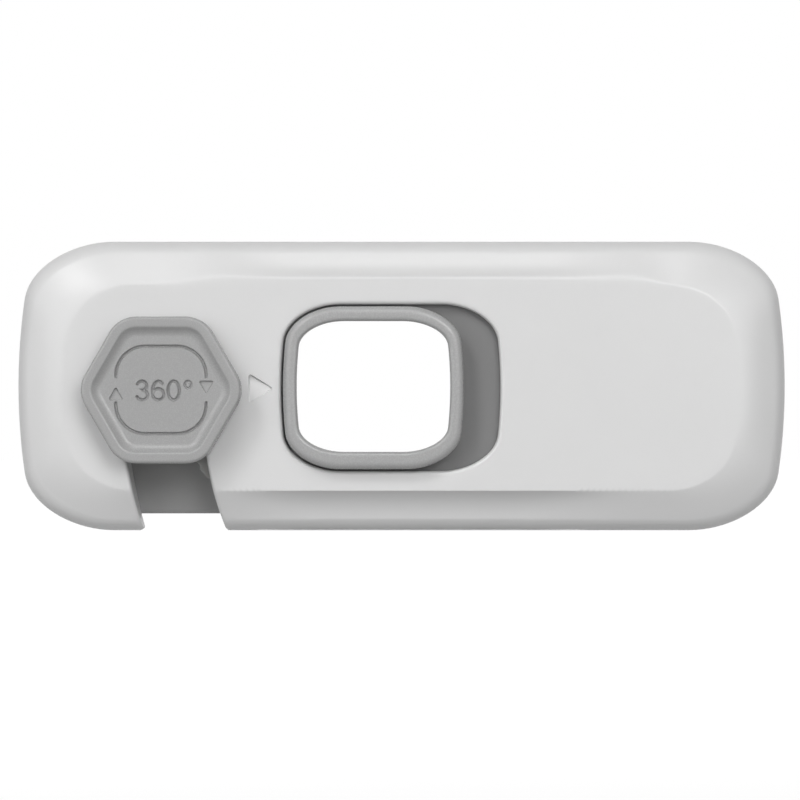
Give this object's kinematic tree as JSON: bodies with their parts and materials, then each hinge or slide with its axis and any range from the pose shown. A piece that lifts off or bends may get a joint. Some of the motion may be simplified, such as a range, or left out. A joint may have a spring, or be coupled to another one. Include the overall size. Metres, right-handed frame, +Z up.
{
  "type": "cabinet safety lock",
  "caption": "Cabinet safety lock: an arm that swings on a hinge base and hooks over a catch with a hex knob, freed by a spring-loaded finger ring.",
  "frame": {"origin": "on the arm's pivot axis, at the face of the hinge pad that sticks to the cabinet", "axes": "+X to the right along the arm as seen from the front, +Y into the cabinet's face, +Z up; the front faces -Y"},
  "size_m": [0.12, 0.0197, 0.0452],
  "materials": {
    "shell_plastic": "fine satin texture",
    "grey_plastic": "satin",
    "base_plastic": "satin",
    "acetal": "waxy moulded",
    "zinc_steel": "bright zinc plating",
    "spring_steel": "drawn wire",
    "foam_pad": "closed-cell foam tape"
  },
  "bodies": {
    "bases": {"hinge_base": "base_plastic", "hinge_pad": "foam_pad", "pivot_wave_washer": "spring_steel", "pivot_washer": "zinc_steel", "pivot_screw": "zinc_steel", "catch_base": "base_plastic", "catch_pad": "foam_pad"},
    "arm": {"front_cover": "shell_plastic", "rear_cover": "shell_plastic", "cover_screws": "zinc_steel", "hinge_bush": "acetal", "return_spring_upper": "spring_steel", "return_spring_lower": "spring_steel"},
    "ring_slider": {"slider": "grey_plastic", "latch_tongue": "acetal", "tongue_rivet": "zinc_steel"},
    "hex_knob": {"knob": "grey_plastic", "knob_wave_washer": "spring_steel", "knob_washer": "zinc_steel", "knob_screw": "zinc_steel"}
  },
  "joints": [
    {"name": "arm_swing", "type": "hinge", "parent": "bases", "child": "arm", "pos_m": [0, -0.006, 0], "axis": [0, 1, 0], "range_deg": [0, 330], "deforming": ["latch_tongue"]},
    {"name": "slider_slide", "type": "slide", "parent": "arm", "child": "ring_slider", "axis": [1, 0, 0], "range_m": [0, 0.0052], "stiffness_N_per_m": 200, "springref_m": -0.004, "deforming": ["return_spring_upper", "return_spring_lower"]},
    {"name": "knob_turn", "type": "hinge", "parent": "bases", "child": "hex_knob", "pos_m": [-0.071, -0.017, 0], "axis": [0, 1, 0], "continuous": true}
  ]
}
